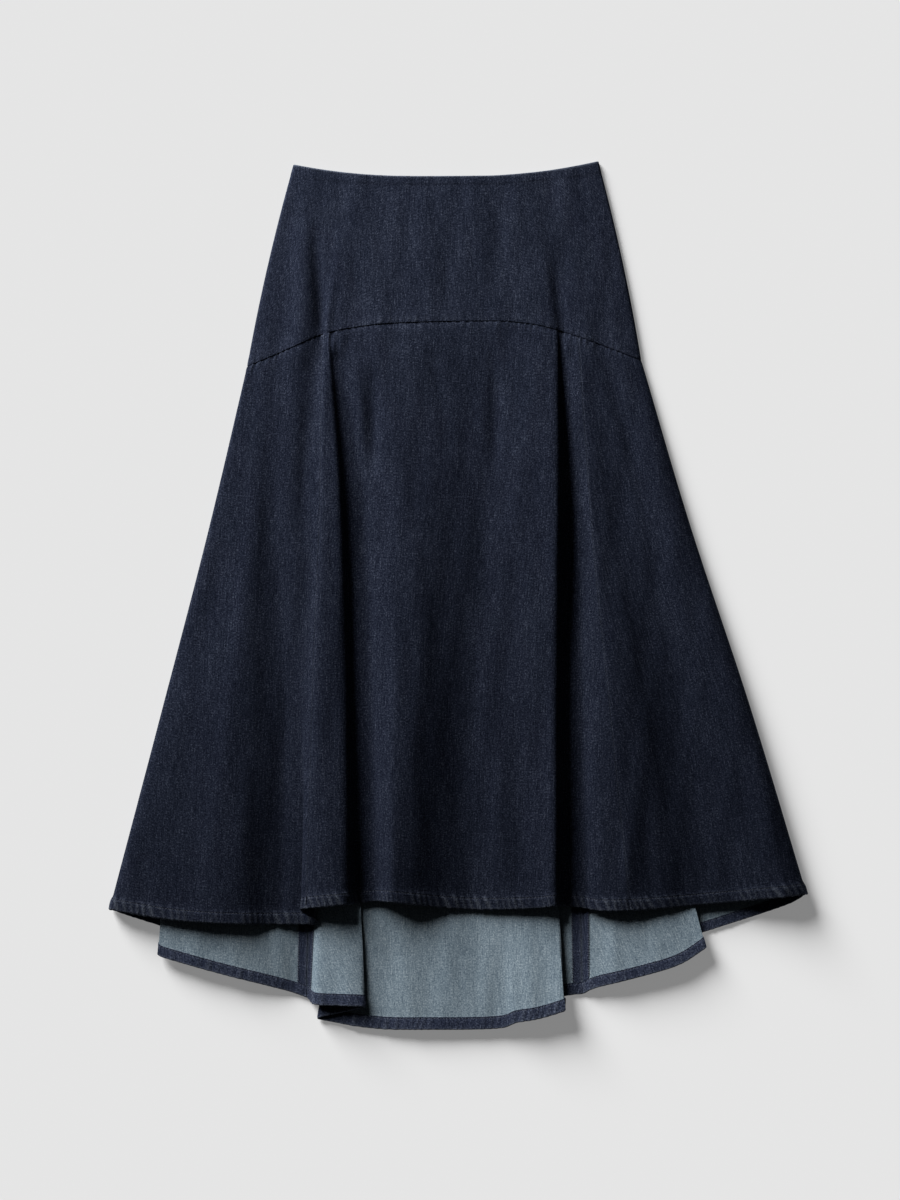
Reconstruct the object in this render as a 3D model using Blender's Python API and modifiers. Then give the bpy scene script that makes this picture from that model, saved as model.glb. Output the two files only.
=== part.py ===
"""Denim midi skirt laid flat, front up, in metres with +Z up and the waist towards +Y.

The skirt has a front and a back hip yoke and six flared panels. The back panels are
cut longer, so their inside and turned hem show below the front hem, and the fullness
lies in cone folds that start at the yoke seam and open towards the hem.

Every cloth surface is worked out the same way. A rib is a line that runs down the
cloth, through the places that its table row gives at a few heights. At any height
the ribs are the corners of a polygon across the cloth, and each corner is rounded
with a quadratic curve, so a far corner makes a soft fold and a tight one a crease.
Where a rib passes its neighbour the cloth doubles back on itself, as a lapped fold.
"""

from collections import namedtuple

import bpy
import numpy as np

MM = 0.001

# Cloth and sewing sizes, in millimetres
WALL = 1.2
HEM_DEPTH = 13.5
HEM_LAYERS = 2
HEM_STEP = 0.7
SEAM_GAP = 0.4

# Heights down a panel where cross sections are taken, as shares of its length
LEVELS = (0.0, 0.15, 0.3, 0.42, 0.54, 0.65, 0.75, 0.85, 0.93)
HEM_ROWS = 2
YOKE_LEVELS = (0.0, 0.3, 0.65, 1.0)

# Where each corner is sampled, as shares of its rounding to either side
CORNER_SAMPLES = (-0.8, 0.0, 0.8)
NO_BEND = 1e-9

# Waist edge: a shallow dip between two side corners
WAIST_LEFT, WAIST_RIGHT = -184, 157
WAIST_LOW_X, WAIST_LOW_Y = -22, 468
WAIST_RISE = 15.5
WAIST_POWER = 2.4

# Yoke seam, an arch with a soft corner where each panel seam meets it
YOKE_SEAM_X = (-236, -193, -149, -81, 13, 86, 129, 205)
YOKE_SEAM_Y = (256, 274, 293, 305, 309, 303, 291, 263)

# Length of a panel from the yoke seam to the hem, near its middle
FRONT_LENGTH = 640
BACK_LENGTH = 760

# Shares of the length at which the rib tables give x and z
FRONT_STATIONS = (0.0, 0.3, 0.65, 1.0)
BACK_STATIONS = (0.0, 0.5, 0.85, 1.0)

# x and z hold one value for each station, from the yoke seam to the hem.
# soft is the rounding of the corner, as a share of the cloth to its neighbours.
Rib = namedtuple("Rib", "name x hem_y z soft")

# The side seams run round the edge of the flat shape, at half its height.
LEFT_X, LEFT_HEM_Y = (-236, -279, -334, -390), -352
RIGHT_X, RIGHT_HEM_Y = (205, 258, 327, 390), -335
SIDE_LEFT = Rib("side left", LEFT_X, LEFT_HEM_Y, (3.2, 4, 5.5, 7), 0.5)
SIDE_RIGHT = Rib("side right", RIGHT_X, RIGHT_HEM_Y, (3.2, 4.5, 6.5, 8.5), 0.5)
SIDE_TOP_LEFT = Rib("side top left", LEFT_X, LEFT_HEM_Y, (6.5, 9, 13, 15), 0.45)
SIDE_TOP_RIGHT = Rib("side top right", RIGHT_X, RIGHT_HEM_Y, (7, 11, 16, 18), 0.45)
SIDE_BOTTOM_LEFT = Rib("side bottom left", LEFT_X, LEFT_HEM_Y, (0, 0, 0, 0), 0.45)
SIDE_BOTTOM_RIGHT = Rib("side bottom right", RIGHT_X, RIGHT_HEM_Y, (0, 0, 0, 0), 0.45)

FRONT_RIBS = (
    SIDE_LEFT,
    SIDE_TOP_LEFT,
    Rib("flank left", (-226, -250, -288, -325), -364, (7, 10, 17, 21), 0.5),
    Rib("hump left", (-215, -231, -247, -255), -368, (8, 12.5, 24, 31), 0.45),
    Rib("valley left", (-199, -209, -198, -203), -369, (6.5, 6.5, 7, 9), 0.5),
    Rib("ridge left", (-181, -188, -187, -190), -369, (11, 11, 10, 11), 0.5),
    Rib("ditch left", (-161, -170, -176, -149), -369, (7, 10.5, 12, 13), 0.4),
    Rib("roll left", (-155, -160, -170, -182), -352, (7, 12.5, 15, 19), 0.35),
    Rib("crest left", (-149, -150, -157, -157), -349, (9, 17, 23, 35), 0.4),
    Rib("shoulder left", (-146, -132, -126, -122), -346, (8, 16, 21, 32), 0.35),
    Rib("foot left", (-143, -125, -118, -116), -346, (5.5, 4.2, 6.2, 10), 0.3),
    Rib("floor left", (-139, -107, -98, -92), -343, (5.5, 4.2, 6.2, 10), 0.3),
    Rib("rise left", (-129, -97, -88, -84), -343, (7, 9, 16, 24), 0.4),
    Rib("second crest", (-82, -58, -64, -71), -344, (8.5, 16.5, 28, 34), 0.45),
    Rib("middle valley", (46, 27, 5, -2), -352, (7, 4.8, 5, 6.5), 0.5),
    Rib("middle hump left", (64, 52, 36, 36), -353, (7.5, 9, 8.5, 11), 0.5),
    Rib("middle hump right", (90, 92, 90, 88), -351, (8, 16, 15.5, 19), 0.4),
    Rib("shoulder right", (110, 113, 110, 110), -348, (8, 18.5, 20.5, 27), 0.35),
    Rib("foot right", (114, 119, 118, 118), -348, (5.5, 4.2, 6.2, 10), 0.3),
    Rib("floor right", (118, 130, 138, 143), -351, (5.5, 4.2, 6.2, 10), 0.3),
    Rib("rise right", (123, 136, 146, 150), -353, (7, 7.5, 12, 16), 0.4),
    Rib("crest right", (129, 144, 155, 170), -354, (8.5, 11, 16, 24), 0.5),
    Rib("past the seam", (140, 151, 184, 215), -352, (8.5, 14, 23, 22), 0.5),
    Rib("valley right", (157, 185, 243, 283), -346, (7, 7, 5.5, 8), 0.5),
    Rib("hump right", (179, 234, 306, 362), -338.5, (8, 15, 22, 24), 0.5),
    SIDE_TOP_RIGHT,
    SIDE_RIGHT,
)

BACK_RIBS = (
    SIDE_LEFT,
    SIDE_BOTTOM_LEFT,
    Rib("floor left", (-227, -300, -355, -374), -358, (0, 0, 0, 0), 0.4),
    Rib("lap left, under", (-195, -264, -311, -304), -380, (0, 0, 0, 0), 0.15),
    Rib("lap left, over", (-192, -262, -309, -303), -381, (0, 2.6, 5.5, 6.2), 0.2),
    Rib("lap left, edge", (-187, -257, -330, -341), -403, (0, 3.2, 7.5, 8.5), 0.15),
    Rib("arch left, high", (-177, -233, -272, -272), -423, (0, 3, 9, 12), 0.5),
    Rib("arch left, low", (-168, -208, -220, -220), -436, (0, 2, 7, 9), 0.5),
    Rib("rest left", (-160, -188, -186, -186), -445, (0, 0, 0, 1), 0.4),
    Rib("step foot", (-152, -172, -162, -165), -453, (0, 0, 0, 0), 0.2),
    Rib("step top", (-147, -166, -157, -161), -459, (0, 2, 6.5, 15), 0.2),
    Rib("roll top", (-141, -155, -130, -127), -460, (0, 2.5, 7.5, 17), 0.4),
    Rib("roll edge", (-134, -143, -106, -101), -461, (0, 2.5, 6, 13), 0.12),
    Rib("lap middle, over", (-128, -133, -142, -159), -474, (0, 2.6, 4.6, 6.2), 0.15),
    Rib("lap middle, under", (-125, -131, -142, -159), -475, (0, 0, 0, 0), 0.15),
    Rib("middle rest", (-114, -108, -96, -96), -487, (0, 0, 1.5, 4), 0.5),
    Rib("middle arch, left", (-65, -31, -31, -31), -487, (0, 0, 3, 8), 0.5),
    Rib("middle arch, right", (-20, 13, 22, 22), -487, (0, 0, 2, 6), 0.5),
    Rib("crease foot", (13, 36, 50, 55), -485, (0, 0, 3, 8), 0.4),
    Rib("crease top", (18, 40, 57, 63), -479, (0, 0, 5, 12), 0.4),
    Rib("middle rise", (47, 69, 87, 92), -475, (0, 1, 6, 15), 0.5),
    Rib("middle edge", (69, 97, 114, 122), -465, (0, 3, 7, 16), 0.12),
    Rib("lap right, over", (76, 103, 101, 95), -455, (0, 2.6, 4.4, 6.2), 0.15),
    Rib("lap right, under", (79, 106, 101, 95), -454, (0, 0, 0, 0), 0.15),
    Rib("rest right", (97, 122, 126, 128), -448, (0, 0, 0, 0), 0.4),
    Rib("rest right end", (105, 131, 140, 142), -447, (0, 0, 0, 0), 0.3),
    Rib("arch right foot", (112, 137, 147, 150), -441, (0, 0.5, 3.5, 7), 0.4),
    Rib("arch right", (137, 170, 195, 200), -429, (0, 1, 6.5, 12), 0.5),
    Rib("arch right, high", (159, 204, 235, 249), -415, (0, 2, 7, 12), 0.4),
    Rib("side lap, edge", (172, 221, 255, 281), -393, (0, 3.2, 6.6, 10.5), 0.12),
    Rib("side lap, over", (179, 224, 240, 240), -390, (0, 2.6, 5, 6.2), 0.15),
    Rib("side lap, under", (182, 227, 240, 240), -389, (0, 0, 0, 0), 0.15),
    Rib("floor right", (196, 277, 344, 372), -347, (0, 0, 0, 0), 0.4),
    SIDE_BOTTOM_RIGHT,
    SIDE_RIGHT,
)
SIDE_COLUMNS = [0, 1, -2, -1]
BACK_SIDES = [BACK_RIBS[column] for column in SIDE_COLUMNS]

# Seams between panels: the rib before each, and the share of the way to the next one
FRONT_SEAMS = (("roll left", 0.5), ("crest right", 0.5))
BACK_SEAMS = (("rest left", 0.75), ("rest right", 0.8))

# The flattened yoke: its height at the waist, where its side seams lie, and how far
# the hips curve its sides out
YOKE_HEIGHT = 5.5
YOKE_SIDE_HEIGHT = 3.0
HIP_BULGE = 3.0

DENIM = (0.022, 0.026, 0.041, 1.0)
DENIM_ROUGHNESS = 0.85


def glide(stations, values, at):
    """Smooth values between stations, without overshoot. values has one row per rib."""
    stations = np.asarray(stations, float)
    values = np.asarray(values, float)
    steps = np.diff(stations)
    rates = np.diff(values, axis=-1) / steps
    slopes = np.zeros_like(values)
    before, after = rates[..., :-1], rates[..., 1:]
    same_way = before * after > 0
    total = np.where(same_way, before + after, 1.0)
    slopes[..., 1:-1] = np.where(same_way, 2 * before * after / total, 0.0)
    slopes[..., 0] = rates[..., 0]
    slopes[..., -1] = rates[..., -1]
    at = np.clip(np.asarray(at, float), stations[0], stations[-1])
    span = np.clip(np.searchsorted(stations, at, side="right") - 1, 0, len(steps) - 1)
    step = steps[span]
    s = (at - stations[span]) / step
    start, end = values[..., span], values[..., span + 1]
    pull_start, pull_end = slopes[..., span] * step, slopes[..., span + 1] * step
    return (
        start * (1 + 2 * s) * (1 - s) ** 2
        + pull_start * s * (1 - s) ** 2
        + end * s**2 * (3 - 2 * s)
        + pull_end * s**2 * (s - 1)
    )


def yoke_seam_y(x):
    return glide(YOKE_SEAM_X, YOKE_SEAM_Y, x)


def waist_y(x):
    half_width = (WAIST_RIGHT - WAIST_LEFT) / 2
    return WAIST_LOW_Y + WAIST_RISE * (np.abs(x - WAIST_LOW_X) / half_width) ** WAIST_POWER


def rib_lines(ribs, stations, levels):
    """Corners of the cloth at each level, as an array of levels by ribs by x, y and z."""
    x = glide(stations, [rib.x for rib in ribs], levels).T
    z = glide(stations, [rib.z for rib in ribs], levels).T
    start_y = yoke_seam_y([rib.x[0] for rib in ribs])
    hem_y = np.array([rib.hem_y for rib in ribs], float)
    y = start_y + (hem_y - start_y) * np.asarray(levels)[:, None]
    return np.stack([x, y, z], axis=-1)


def back_lines(levels):
    """Corners of the back, whose side edges run with the front's."""
    corners = rib_lines(BACK_RIBS, BACK_STATIONS, levels)
    corners[:, SIDE_COLUMNS] = rib_lines(BACK_SIDES, FRONT_STATIONS, levels)
    return corners


def softness(ribs):
    return np.array([rib.soft for rib in ribs])


def seam_places(ribs, seams):
    names = [rib.name for rib in ribs]
    return tuple(names.index(name) + share for name, share in seams)


def across(corners, soft, places):
    """Points of the rounded polygon at places, where a whole number is a corner."""
    places = np.asarray(places, float)
    corner = np.clip(np.round(places).astype(int), 0, corners.shape[1] - 1)
    offset = places - corner
    before = corners[:, np.maximum(corner - 1, 0)]
    after = corners[:, np.minimum(corner + 1, corners.shape[1] - 1)]
    here = corners[:, corner]
    bend = soft[corner]
    ends = (corner == 0) | (corner == corners.shape[1] - 1)
    bend = np.where(ends, NO_BEND, bend)[:, None]
    offset = offset[:, None]
    neighbour = np.where(offset < 0, before, after)
    straight = here + (neighbour - here) * np.abs(offset)
    turn = np.clip((offset + bend) / (2 * bend), 0, 1)
    entry = here + (before - here) * bend
    leave = here + (after - here) * bend
    curve = (1 - turn) ** 2 * entry + 2 * turn * (1 - turn) * here + turn**2 * leave
    return np.where(np.abs(offset) > bend, straight, curve)


def places_between(soft, first, last):
    """Places to sample from first to last: both ends, and a few round each corner."""
    turns = range(1, len(soft) - 1)
    places = [turn + soft[turn] * share for turn in turns for share in CORNER_SAMPLES]
    places += [0.5, len(soft) - 1.5]
    return np.array([first] + sorted(p for p in places if first < p < last) + [last])


def drawn_in(points, edges):
    """The same points with the named edges drawn in by half of a seam's gap."""
    points = points.copy()
    lines = {
        "first": (points[:, 0], points[:, 1]),
        "last": (points[:, -1], points[:, -2]),
        "top": (points[0], points[1]),
        "bottom": (points[-1], points[-2]),
    }
    for edge in edges:
        line, next_line = lines[edge]
        way = next_line - line
        line += way / np.linalg.norm(way, axis=-1, keepdims=True) * SEAM_GAP / 2
    return points


def denim(name):
    material = bpy.data.materials.new(name)
    material.use_nodes = True
    shader = material.node_tree.nodes["Principled BSDF"]
    shader.inputs["Base Color"].default_value = DENIM
    shader.inputs["Roughness"].default_value = DENIM_ROUGHNESS
    shader.inputs["Metallic"].default_value = 0.0
    return material


def cloth(name, points, collection, facing_up, hem_rows=0):
    """A cloth piece: its outer surface, made solid inwards, double over the hem rows."""
    rows, columns = points.shape[:2]
    corner = np.arange(rows - 1)[:, None] * columns + np.arange(columns - 1)
    corner = corner.reshape(-1)
    faces = np.stack([corner, corner + columns, corner + columns + 1, corner + 1], axis=1)
    if not facing_up:
        faces = faces[:, ::-1]
    mesh = bpy.data.meshes.new(name)
    mesh.from_pydata((points.reshape(-1, 3) * MM).tolist(), [], faces.tolist())
    piece = bpy.data.objects.new(name, mesh)
    collection.objects.link(piece)
    piece.data.materials.append(denim(name + "_denim"))

    layers = piece.vertex_groups.new(name="layers")
    hem_start = (rows - hem_rows) * columns
    layers.add(list(range(hem_start)), 1 / HEM_LAYERS, "REPLACE")
    layers.add(list(range(hem_start, rows * columns)), 1.0, "REPLACE")

    wall = piece.modifiers.new("wall", "SOLIDIFY")
    wall.thickness = WALL * HEM_LAYERS * MM
    wall.offset = -1
    wall.vertex_group = layers.name
    return piece


def panel_levels(length):
    """The levels of a panel, with a small step where the turned hem ends."""
    hem_top = 1 - HEM_DEPTH / length
    return LEVELS + (hem_top - HEM_STEP / length, hem_top, 1.0)


def build_panels(collection, side, corners, soft, seams, facing_up):
    edges = (0.0,) + seams + (len(soft) - 1.0,)
    for name, first, last in zip(("left", "center", "right"), edges, edges[1:]):
        points = across(corners, soft, places_between(soft, first, last))
        points = drawn_in(points, ("first", "last", "top"))
        cloth(f"{side}_{name}", points, collection, facing_up, HEM_ROWS)


def yoke_corners(seam):
    """Corners of a yoke from the waist to the seam, above the ribs that start there.

    Their heights leave the waist's slowly, with the cube of the way to the seam.
    """
    waist = seam.copy()
    share = (seam[:, 0] - seam[0, 0]) / (seam[-1, 0] - seam[0, 0])
    waist[:, 0] = WAIST_LEFT + (WAIST_RIGHT - WAIST_LEFT) * share
    waist[:, 1] = waist_y(waist[:, 0])
    waist[:, 2] = np.where(seam[:, 2] > 0, YOKE_HEIGHT, 0)
    waist[[0, -1], 2] = YOKE_SIDE_HEIGHT
    level = np.asarray(YOKE_LEVELS)[:, None, None]
    corners = waist + (seam - waist) * level
    corners[:, :, 2] = waist[:, 2] + (seam[:, 2] - waist[:, 2]) * level[:, :, 0] ** 3
    sideways = 2 * share - 1
    corners[:, :, 0] += HIP_BULGE * sideways * (4 * level * (1 - level))[:, :, 0]
    return corners


def build_yoke(collection, name, seam, soft, facing_up):
    places = places_between(soft, 0.0, len(soft) - 1.0)
    points = across(yoke_corners(seam), soft, places)
    points = drawn_in(points, ("first", "last", "bottom"))
    cloth(name, points, collection, facing_up)


def main():
    for thing in list(bpy.data.objects):
        bpy.data.objects.remove(thing, do_unlink=True)
    collection = bpy.data.collections.new("denim_midi_skirt")
    bpy.context.scene.collection.children.link(collection)

    front = rib_lines(FRONT_RIBS, FRONT_STATIONS, panel_levels(FRONT_LENGTH))
    front_soft = softness(FRONT_RIBS)
    front_seams = seam_places(FRONT_RIBS, FRONT_SEAMS)
    build_yoke(collection, "yoke_front", front[0], front_soft, True)
    build_panels(collection, "front", front, front_soft, front_seams, True)

    back = back_lines(panel_levels(BACK_LENGTH))
    back_soft = softness(BACK_RIBS)
    back_seams = seam_places(BACK_RIBS, BACK_SEAMS)
    build_yoke(collection, "yoke_back", back[0], back_soft, False)
    build_panels(collection, "back", back, back_soft, back_seams, False)


main()
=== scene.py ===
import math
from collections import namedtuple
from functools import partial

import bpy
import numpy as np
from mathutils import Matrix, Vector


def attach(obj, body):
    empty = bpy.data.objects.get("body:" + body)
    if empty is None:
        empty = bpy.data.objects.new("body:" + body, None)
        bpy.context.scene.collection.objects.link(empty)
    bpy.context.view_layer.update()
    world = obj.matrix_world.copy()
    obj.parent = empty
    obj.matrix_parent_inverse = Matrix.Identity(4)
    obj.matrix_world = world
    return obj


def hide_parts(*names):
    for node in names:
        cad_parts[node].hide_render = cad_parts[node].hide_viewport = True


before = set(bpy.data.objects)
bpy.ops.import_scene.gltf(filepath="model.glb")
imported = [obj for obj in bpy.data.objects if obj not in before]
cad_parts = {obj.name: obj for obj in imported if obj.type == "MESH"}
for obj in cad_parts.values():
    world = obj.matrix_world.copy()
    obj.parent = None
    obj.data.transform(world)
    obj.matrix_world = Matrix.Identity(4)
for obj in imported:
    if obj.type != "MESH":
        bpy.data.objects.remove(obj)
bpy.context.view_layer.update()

# Looks of a denim midi skirt laid flat, front up, in metres with the waist towards +Y.
#
# Each panel is one closed shell of cloth. Its outer surface is worked out from ribs,
# the lines that run down the cloth: at any height the ribs are corners of a polygon
# across the cloth, and each corner is rounded with a quadratic curve. Soft creases,
# seam puckers and the roped hem are then added to that surface, and a profile carried
# along it gives the wall, the folded edge and the hem that is turned up inside.

MM = 0.001

# Cloth and hem, in millimetres
WALL = 1.2
HEM_DEPTH = 13.5
WAIST_TURN = 10.0
STITCH_HEIGHT = 11.9

# Rows and columns of the cloth's grid, in millimetres. They stand closer at the seams,
# round the folded edge and in the turned hem.
COLUMN_STEP = 1.6
ROW_STEP = 5.0
SEAM_STEPS = (0.0, 0.45, 1.0, 1.7, 2.7, 4.1)
FOLD_SHARES = (1.0, 0.62, 0.28, 0.06)
BAND_ROWS = (2.3, 4.0, 6.0, 8.0, 9.8, 11.0, 11.5, 11.9, 12.3, 12.9)
BAND_END_GAP = 0.5
TURNED_EDGE_ROWS = (-0.12, 0.12)
ABOVE_EDGE_ROWS = (1.2, 3.2)
FINE_PLACES = 1600
SPREAD_LEVELS = np.linspace(0.35, 1.0, 9)

# A bell is a height that fades on both sides of its middle, over its width
Bell = namedtuple("Bell", "height middle width")
GROOVE = Bell(1, STITCH_HEIGHT, 0.55)
YOKE_STEP = Bell(0.6, 0, 5.0)
SEAM_DIP = Bell(0.28, 0, 0.8)
SIDE_CALM = Bell(0.8, 0, 9.0)
ROPE_DRAW = Bell(0.5, 0, 5.0)
YOKE_PUCKERS = Bell(1, 3.2, 3.6)
SIDE_PUCKERS = Bell(1, 3.0, 4.5)
EDGE_WEAR = Bell(0.75, 0, 1.6)
SEAM_WEAR = Bell(1, 0, 1.5)

BACK_DIP_SHARE = 0.6
HEM_SWELL = 0.2
HEM_SWELL_FADE = 0.5
SHARP_ANGLE = math.radians(55)

# Waist edge: a shallow dip between two side corners
WAIST_LEFT, WAIST_RIGHT = -184, 157
WAIST_LOW_X, WAIST_LOW_Y = -22, 468
WAIST_RISE = 15.5
WAIST_POWER = 2.4

# Yoke seam, an arch with a soft corner where each panel seam meets it
YOKE_SEAM_X = (-236, -193, -149, -81, 13, 86, 129, 205)
YOKE_SEAM_Y = (256, 274, 293, 305, 309, 303, 291, 263)

FRONT_LENGTH = 640
BACK_LENGTH = 760
YOKE_LENGTH = 180
FRONT_STATIONS = (0.0, 0.3, 0.65, 1.0)
BACK_STATIONS = (0.0, 0.5, 0.85, 1.0)

YOKE_HEIGHT = 5.5
YOKE_SIDE_HEIGHT = 3.0
HIP_BULGE = 3.0

# x and z hold one value for each station, from the yoke seam to the hem.
# soft is the rounding of the corner, as a share of the cloth to its neighbours.
Rib = namedtuple("Rib", "name x hem_y z soft")

LEFT_X, LEFT_HEM_Y = (-236, -279, -334, -390), -352
RIGHT_X, RIGHT_HEM_Y = (205, 258, 327, 390), -335
SIDE_LEFT = Rib("side left", LEFT_X, LEFT_HEM_Y, (3.2, 4, 5.5, 7), 0.5)
SIDE_RIGHT = Rib("side right", RIGHT_X, RIGHT_HEM_Y, (3.2, 4.5, 6.5, 8.5), 0.5)
SIDE_TOP_LEFT = Rib("side top left", LEFT_X, LEFT_HEM_Y, (6.5, 9, 13, 15), 0.45)
SIDE_TOP_RIGHT = Rib("side top right", RIGHT_X, RIGHT_HEM_Y, (7, 11, 16, 18), 0.45)
SIDE_BOTTOM_LEFT = Rib("side bottom left", LEFT_X, LEFT_HEM_Y, (0, 0, 0, 0), 0.45)
SIDE_BOTTOM_RIGHT = Rib("side bottom right", RIGHT_X, RIGHT_HEM_Y, (0, 0, 0, 0), 0.45)

FRONT_RIBS = (
    SIDE_LEFT,
    SIDE_TOP_LEFT,
    Rib("flank left", (-226, -250, -288, -325), -364, (7, 10, 17, 21), 0.5),
    Rib("hump left", (-215, -231, -247, -255), -368, (8, 12.5, 24, 31), 0.45),
    Rib("valley left", (-199, -209, -198, -203), -369, (6.5, 6.5, 7, 9), 0.5),
    Rib("ridge left", (-181, -188, -187, -190), -369, (11, 11, 10, 11), 0.5),
    Rib("ditch left", (-161, -170, -176, -149), -369, (7, 10.5, 12, 13), 0.4),
    Rib("roll left", (-155, -160, -170, -182), -352, (7, 12.5, 15, 19), 0.35),
    Rib("crest left", (-149, -150, -157, -157), -349, (9, 17, 23, 35), 0.4),
    Rib("shoulder left", (-146, -132, -126, -122), -346, (8, 16, 21, 32), 0.35),
    Rib("foot left", (-143, -125, -118, -116), -346, (5.5, 4.2, 6.2, 10), 0.3),
    Rib("floor left", (-139, -107, -98, -92), -343, (5.5, 4.2, 6.2, 10), 0.3),
    Rib("rise left", (-129, -97, -88, -84), -343, (7, 9, 16, 24), 0.4),
    Rib("second crest", (-82, -58, -64, -71), -344, (8.5, 16.5, 28, 34), 0.45),
    Rib("middle valley", (46, 27, 5, -2), -352, (7, 4.8, 5, 6.5), 0.5),
    Rib("middle hump left", (64, 52, 36, 36), -353, (7.5, 9, 8.5, 11), 0.5),
    Rib("middle hump right", (90, 92, 90, 88), -351, (8, 16, 15.5, 19), 0.4),
    Rib("shoulder right", (110, 113, 110, 110), -348, (8, 18.5, 20.5, 27), 0.35),
    Rib("foot right", (114, 119, 118, 118), -348, (5.5, 4.2, 6.2, 10), 0.3),
    Rib("floor right", (118, 130, 138, 143), -351, (5.5, 4.2, 6.2, 10), 0.3),
    Rib("rise right", (123, 136, 146, 150), -353, (7, 7.5, 12, 16), 0.4),
    Rib("crest right", (129, 144, 155, 170), -354, (8.5, 11, 16, 24), 0.5),
    Rib("past the seam", (140, 151, 184, 215), -352, (8.5, 14, 23, 22), 0.5),
    Rib("valley right", (157, 185, 243, 283), -346, (7, 7, 5.5, 8), 0.5),
    Rib("hump right", (179, 234, 306, 362), -338.5, (8, 15, 22, 24), 0.5),
    SIDE_TOP_RIGHT,
    SIDE_RIGHT,
)

BACK_RIBS = (
    SIDE_LEFT,
    SIDE_BOTTOM_LEFT,
    Rib("floor left", (-227, -300, -355, -374), -358, (0, 0, 0, 0), 0.4),
    Rib("lap left, under", (-195, -264, -311, -304), -380, (0, 0, 0, 0), 0.15),
    Rib("lap left, over", (-192, -262, -309, -303), -381, (0, 2.6, 5.5, 6.2), 0.2),
    Rib("lap left, edge", (-187, -257, -330, -341), -403, (0, 3.2, 7.5, 8.5), 0.15),
    Rib("arch left, high", (-177, -233, -272, -272), -423, (0, 3, 9, 12), 0.5),
    Rib("arch left, low", (-168, -208, -220, -220), -436, (0, 2, 7, 9), 0.5),
    Rib("rest left", (-160, -188, -186, -186), -445, (0, 0, 0, 1), 0.4),
    Rib("step foot", (-152, -172, -162, -165), -453, (0, 0, 0, 0), 0.2),
    Rib("step top", (-147, -166, -157, -161), -459, (0, 2, 6.5, 15), 0.2),
    Rib("roll top", (-141, -155, -130, -127), -460, (0, 2.5, 7.5, 17), 0.4),
    Rib("roll edge", (-134, -143, -106, -101), -461, (0, 2.5, 6, 13), 0.12),
    Rib("lap middle, over", (-128, -133, -142, -159), -474, (0, 2.6, 4.6, 6.2), 0.15),
    Rib("lap middle, under", (-125, -131, -142, -159), -475, (0, 0, 0, 0), 0.15),
    Rib("middle rest", (-114, -108, -96, -96), -487, (0, 0, 1.5, 4), 0.5),
    Rib("middle arch, left", (-65, -31, -31, -31), -487, (0, 0, 3, 8), 0.5),
    Rib("middle arch, right", (-20, 13, 22, 22), -487, (0, 0, 2, 6), 0.5),
    Rib("crease foot", (13, 36, 50, 55), -485, (0, 0, 3, 8), 0.4),
    Rib("crease top", (18, 40, 57, 63), -479, (0, 0, 5, 12), 0.4),
    Rib("middle rise", (47, 69, 87, 92), -475, (0, 1, 6, 15), 0.5),
    Rib("middle edge", (69, 97, 114, 122), -465, (0, 3, 7, 16), 0.12),
    Rib("lap right, over", (76, 103, 101, 95), -455, (0, 2.6, 4.4, 6.2), 0.15),
    Rib("lap right, under", (79, 106, 101, 95), -454, (0, 0, 0, 0), 0.15),
    Rib("rest right", (97, 122, 126, 128), -448, (0, 0, 0, 0), 0.4),
    Rib("rest right end", (105, 131, 140, 142), -447, (0, 0, 0, 0), 0.3),
    Rib("arch right foot", (112, 137, 147, 150), -441, (0, 0.5, 3.5, 7), 0.4),
    Rib("arch right", (137, 170, 195, 200), -429, (0, 1, 6.5, 12), 0.5),
    Rib("arch right, high", (159, 204, 235, 249), -415, (0, 2, 7, 12), 0.4),
    Rib("side lap, edge", (172, 221, 255, 281), -393, (0, 3.2, 6.6, 10.5), 0.12),
    Rib("side lap, over", (179, 224, 240, 240), -390, (0, 2.6, 5, 6.2), 0.15),
    Rib("side lap, under", (182, 227, 240, 240), -389, (0, 0, 0, 0), 0.15),
    Rib("floor right", (196, 277, 344, 372), -347, (0, 0, 0, 0), 0.4),
    SIDE_BOTTOM_RIGHT,
    SIDE_RIGHT,
)
SIDE_COLUMNS = [0, 1, -2, -1]
BACK_SIDES = [BACK_RIBS[column] for column in SIDE_COLUMNS]

FRONT_SEAMS = (("roll left", 0.5), ("crest right", 0.5))
BACK_SEAMS = (("rest left", 0.75), ("rest right", 0.8))

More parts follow.
